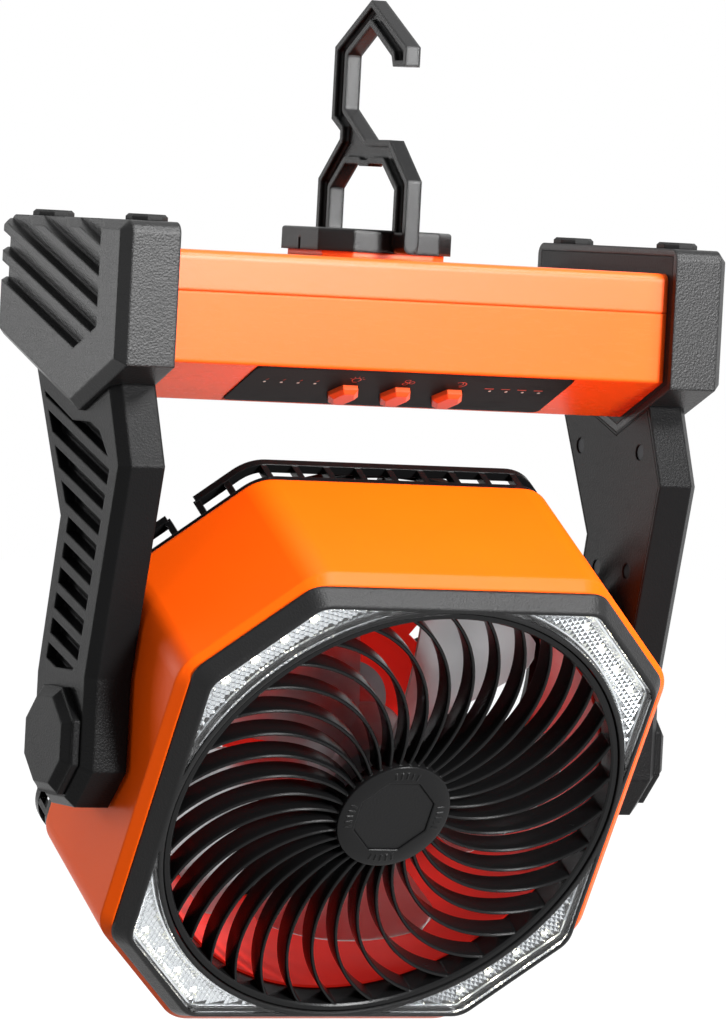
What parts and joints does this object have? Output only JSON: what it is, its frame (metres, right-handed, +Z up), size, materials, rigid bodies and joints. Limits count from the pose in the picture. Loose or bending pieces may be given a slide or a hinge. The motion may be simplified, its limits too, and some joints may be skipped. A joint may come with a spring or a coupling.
{
  "type": "portable camping fan with lights",
  "caption": "Rechargeable hanging fan: octagonal tilting head with swirled grille and corner lights, held by bent arms under a battery bar with a fold-out hook.",
  "frame": {"origin": "the saddle of the hook, where it sits on what it hangs from", "axes": "+Z up in the hanging pose, -Y to the front, X along the battery bar"},
  "size_m": [0.2558, 0.1737, 0.3901],
  "materials": {
    "base_orange": "satin",
    "cover_orange": "satin",
    "cap_black": "fine texture",
    "lid_black": "matte",
    "socket_black": "gloss",
    "panel_black": "fine texture",
    "button_orange": "satin",
    "switch_steel": "satin",
    "board_green": "gloss",
    "lamp_clear": "gloss",
    "cell_sleeve": "gloss",
    "tray_black": "matte",
    "hook_black": "satin",
    "block_black": "satin",
    "pin_steel": "satin",
    "foot_rubber": "matte",
    "arm_black": "fine texture",
    "arm_cover_black": "fine texture",
    "screw_steel": "blackened",
    "knob_black": "fine texture",
    "bush_white": "matte",
    "head_orange": "satin",
    "duct_orange": "satin",
    "bezel_black": "fine texture",
    "lens_clear": "prismatic",
    "led_board_white": "gloss",
    "led_yellow": "gloss",
    "grille_black": "satin",
    "plate_black": "matte",
    "blade_smoke": "smoky",
    "shaft_steel": "satin",
    "nut_black": "matte",
    "motor_metal": "zinc grey",
    "cage_black": "satin",
    "pivot_black": "satin",
    "washer_black": "matte"
  },
  "bodies": {
    "base": {"base_housing": "base_orange", "base_cover": "cover_orange", "left_end_cap": "cap_black", "right_end_cap": "cap_black", "left_cap_lid": "lid_black", "right_cap_lid": "lid_black", "usb_sockets": "socket_black", "control_panel": "panel_black", "button_switches": "switch_steel", "control_board": "board_green", "panel_lamps": "lamp_clear", "battery_cells": "cell_sleeve", "battery_tray": "tray_black", "hook_block": "block_black", "hook_pin": "pin_steel", "rubber_feet": "foot_rubber", "left_arm_shell": "arm_black", "right_arm_shell": "arm_black", "left_arm_cover": "arm_cover_black", "right_arm_cover": "arm_cover_black", "arm_screws": "screw_steel", "left_tilt_knob": "knob_black", "right_tilt_knob": "knob_black", "pivot_bushes": "bush_white"},
    "hook": {"hook": "hook_black"},
    "head": {"head_housing": "head_orange", "air_duct": "duct_orange", "front_bezel": "bezel_black", "light_lenses": "lens_clear", "led_boards": "led_board_white", "led_chips": "led_yellow", "front_grille": "grille_black", "hub_plate": "plate_black", "fan_motor": "motor_metal", "rear_grille": "cage_black", "cage_screws": "screw_steel", "pivot_pins": "pivot_black", "pivot_washers": "washer_black"},
    "rotor": {"fan_blade": "blade_smoke", "motor_shaft": "shaft_steel", "blade_nut": "nut_black"},
    "light_button": {"light_button": "button_orange"},
    "fan_button": {"fan_button": "button_orange"},
    "power_button": {"power_button": "button_orange"}
  },
  "joints": [
    {"name": "hook_fold", "type": "hinge", "parent": "base", "child": "hook", "pos_m": [0, 0, -0.083], "axis": [0, 1, 0], "range_deg": [-90, 90]},
    {"name": "head_tilt", "type": "hinge", "parent": "base", "child": "head", "pos_m": [0, -0.0075, -0.2732], "axis": [1, 0, 0], "range_deg": [-120, 150]},
    {"name": "fan_spin", "type": "hinge", "parent": "head", "child": "rotor", "pos_m": [0, -0.0075, -0.2732], "axis": [0, -0.8625, -0.506], "continuous": true},
    {"name": "light_button_press", "type": "slide", "parent": "base", "child": "light_button", "axis": [0, 0.4106, 0.9118], "range_m": [0, 0.0007], "stiffness_N_per_m": 400, "springref_m": -0.001},
    {"name": "fan_button_press", "type": "slide", "parent": "base", "child": "fan_button", "axis": [0, 0.4106, 0.9118], "range_m": [0, 0.0007], "stiffness_N_per_m": 400, "springref_m": -0.001},
    {"name": "power_button_press", "type": "slide", "parent": "base", "child": "power_button", "axis": [0, 0.4106, 0.9118], "range_m": [0, 0.0007], "stiffness_N_per_m": 400, "springref_m": -0.001}
  ]
}
